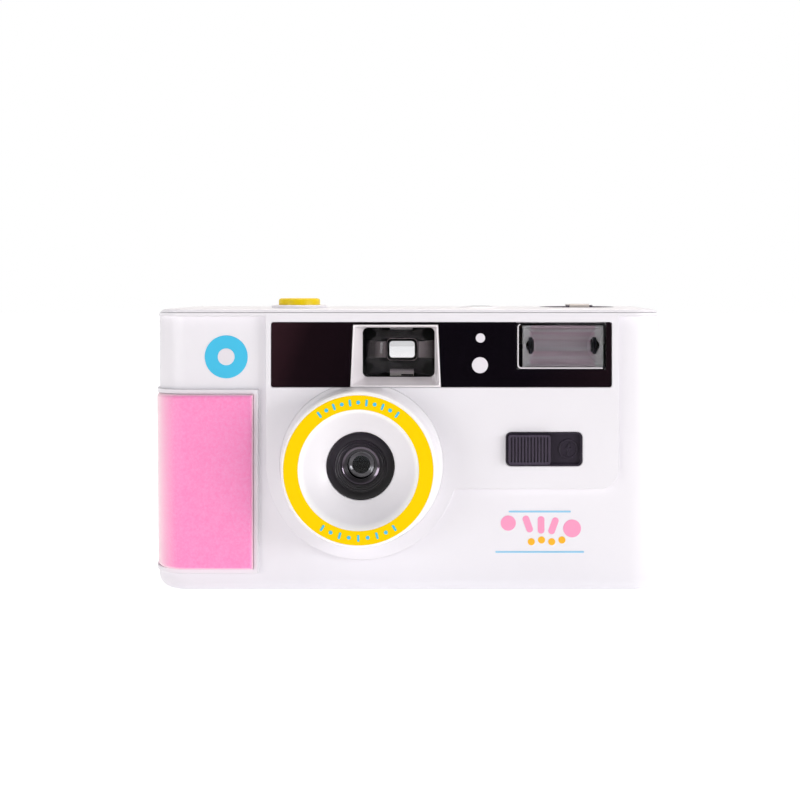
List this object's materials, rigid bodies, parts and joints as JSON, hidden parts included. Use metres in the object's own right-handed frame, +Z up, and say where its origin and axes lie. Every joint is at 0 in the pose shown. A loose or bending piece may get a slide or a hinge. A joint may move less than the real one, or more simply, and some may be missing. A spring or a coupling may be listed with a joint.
{
  "type": "film camera",
  "caption": "Compact 35 mm point-and-shoot film camera in white plastic with a pink grip, yellow lens ring, viewfinder, flash, hinged film door and folding rewind crank.",
  "frame": {"origin": "on the flat base, 9.8 mm to the right of the lens axis, 13.7 mm behind the recessed front face", "axes": "+X to the right seen from the front, +Y to the back, +Z up"},
  "size_m": [0.1186, 0.0456, 0.0662],
  "materials": {
    "white_shell": "smooth satin white ABS",
    "white_lens": "satin white ABS, slightly glossier",
    "pink_grip": "fine mottled soft-touch",
    "yellow_ring": "printed satin",
    "yellow_button": "smooth satin",
    "black_gloss": "polished",
    "black_barrel": "fine satin",
    "black_inner": "matt",
    "charcoal": "satin",
    "pale_frame": "satin",
    "clear": "clear acrylic",
    "flash_clear": "clear ribbed acrylic",
    "silver": "vapour-coated",
    "steel": "plain wire",
    "dark_steel": "blackened sheet",
    "crank_grey": "satin",
    "board_green": "fibre board",
    "capacitor_black": "sleeved",
    "lamp": "tinted",
    "dial_white": "printed"
  },
  "bodies": {
    "camera_body": {"front_cover": "white_shell", "top_cover": "white_shell", "rear_cover": "white_shell", "hinge_pin": "steel", "film_chassis": "black_inner", "battery_holder": "black_inner", "light_box": "black_inner", "lens_housing": "white_lens", "lens_ring": "yellow_ring", "lens_barrel": "black_barrel", "front_lens": "clear", "aperture_plate": "black_inner", "rear_lens": "clear", "lens_retainer": "black_inner", "shutter_plate": "black_inner", "shutter_spring": "steel", "button_spring": "steel", "counter_window": "clear", "latch_spring": "steel", "grip_pad": "pink_grip", "window_panel": "black_gloss", "viewfinder_hood": "pale_frame", "viewfinder_lens": "clear", "viewfinder_tunnel": "black_inner", "eyepiece_lens": "clear", "flash_window": "flash_clear", "flash_reflector": "silver", "flash_tube": "clear", "flash_board": "board_green", "flash_capacitor": "capacitor_black", "flash_transformer": "capacitor_black", "ready_lamp": "lamp", "battery_contact": "steel", "switch_tray": "charcoal", "rewind_button_spring": "steel", "case_screws": "steel", "strap_bar": "steel"},
    "shutter_button": {"shutter_button": "yellow_button"},
    "release_lever": {"release_lever": "black_inner"},
    "shutter_blade": {"shutter_blade": "dark_steel"},
    "take_up": {"thumb_wheel": "charcoal", "take_up_spool": "black_inner"},
    "sprocket": {"sprocket": "black_inner"},
    "counter_dial": {"counter_dial": "dial_white"},
    "rewind_bush": {"rewind_bush": "black_inner"},
    "rewind_hub": {"rewind_hub": "charcoal", "rewind_shaft": "black_inner"},
    "rewind_crank": {"rewind_crank": "crank_grey"},
    "crank_knob": {"crank_knob": "charcoal"},
    "back_door": {"back_door": "white_shell", "pressure_spring": "steel"},
    "pressure_plate": {"pressure_plate": "dark_steel"},
    "door_latch": {"door_latch": "charcoal"},
    "battery_door": {"battery_door": "white_shell", "door_contact": "steel"},
    "flash_switch": {"flash_switch": "charcoal", "switch_contact": "steel"},
    "rewind_button": {"rewind_button": "charcoal"}
  },
  "joints": [
    {"name": "button_press", "type": "slide", "parent": "camera_body", "child": "shutter_button", "axis": [0, 0, -1], "range_m": [0, 0.0015], "stiffness_N_per_m": 400, "springref_m": -0.002, "deforming": ["button_spring"]},
    {"name": "lever_swing", "type": "hinge", "parent": "camera_body", "child": "release_lever", "pos_m": [-0.015, -0.0025, 0.0476], "axis": [0, -1, 0], "range_deg": [0, 9]},
    {"name": "shutter_swing", "type": "hinge", "parent": "camera_body", "child": "shutter_blade", "pos_m": [0.0012, -0.0107, 0.02905], "axis": [0, 1, 0], "range_deg": [0, 55], "stiffness_Nm_per_rad": 0.0001, "springref_deg": -34.38, "deforming": ["shutter_spring"]},
    {"name": "advance_turn", "type": "hinge", "parent": "camera_body", "child": "take_up", "pos_m": [-0.0417, 0.008, 0.03], "axis": [0, 0, 1], "continuous": true},
    {"name": "sprocket_turn", "type": "hinge", "parent": "camera_body", "child": "sprocket", "pos_m": [0.0169, 0.00845, 0.03], "axis": [0, 0, 1], "continuous": true},
    {"name": "counter_turn", "type": "hinge", "parent": "camera_body", "child": "counter_dial", "pos_m": [0.0169, 0.0005, 0.0599], "axis": [0, 0, 1], "continuous": true},
    {"name": "rewind_turn", "type": "hinge", "parent": "camera_body", "child": "rewind_bush", "pos_m": [0.0404, 0.005, 0.0555], "axis": [0, 0, 1], "continuous": true},
    {"name": "rewind_lift", "type": "slide", "parent": "rewind_bush", "child": "rewind_hub", "axis": [0, 0, 1], "range_m": [0, 0.0065]},
    {"name": "crank_fold", "type": "hinge", "parent": "rewind_hub", "child": "rewind_crank", "pos_m": [0.0404, -0.0014, 0.064], "axis": [1, 0, 0], "range_deg": [0, 120]},
    {"name": "knob_turn", "type": "hinge", "parent": "rewind_crank", "child": "crank_knob", "pos_m": [0.0404, 0.0096, 0.062], "axis": [0, 0, 1], "continuous": true},
    {"name": "door_swing", "type": "hinge", "parent": "camera_body", "child": "back_door", "pos_m": [-0.0555, 0.0146, 0.026], "axis": [0, 0, 1], "range_deg": [0, 105]},
    {"name": "plate_press", "type": "slide", "parent": "back_door", "child": "pressure_plate", "axis": [0, 1, 0], "range_m": [0, 0.001], "stiffness_N_per_m": 300, "springref_m": -0.001, "deforming": ["pressure_spring"]},
    {"name": "latch_slide", "type": "slide", "parent": "camera_body", "child": "door_latch", "axis": [0, 0, -1], "range_m": [0, 0.004], "stiffness_N_per_m": 150, "springref_m": -0.002, "deforming": ["latch_spring"]},
    {"name": "battery_door_swing", "type": "hinge", "parent": "camera_body", "child": "battery_door", "pos_m": [0.018, -0.0005, 0.001], "axis": [1, 0, 0], "range_deg": [0, 95]},
    {"name": "switch_slide", "type": "slide", "parent": "camera_body", "child": "flash_switch", "axis": [1, 0, 0], "range_m": [0, 0.0066]},
    {"name": "rewind_release", "type": "slide", "parent": "camera_body", "child": "rewind_button", "axis": [0, 0, 1], "range_m": [0, 0.001], "stiffness_N_per_m": 300, "springref_m": -0.001, "deforming": ["rewind_button_spring"]}
  ],
  "couplings": [
    {"joint": "lever_swing", "follows": "button_press", "rad_per_m": 97},
    {"joint": "counter_turn", "follows": "sprocket_turn", "ratio": -0.025}
  ]
}
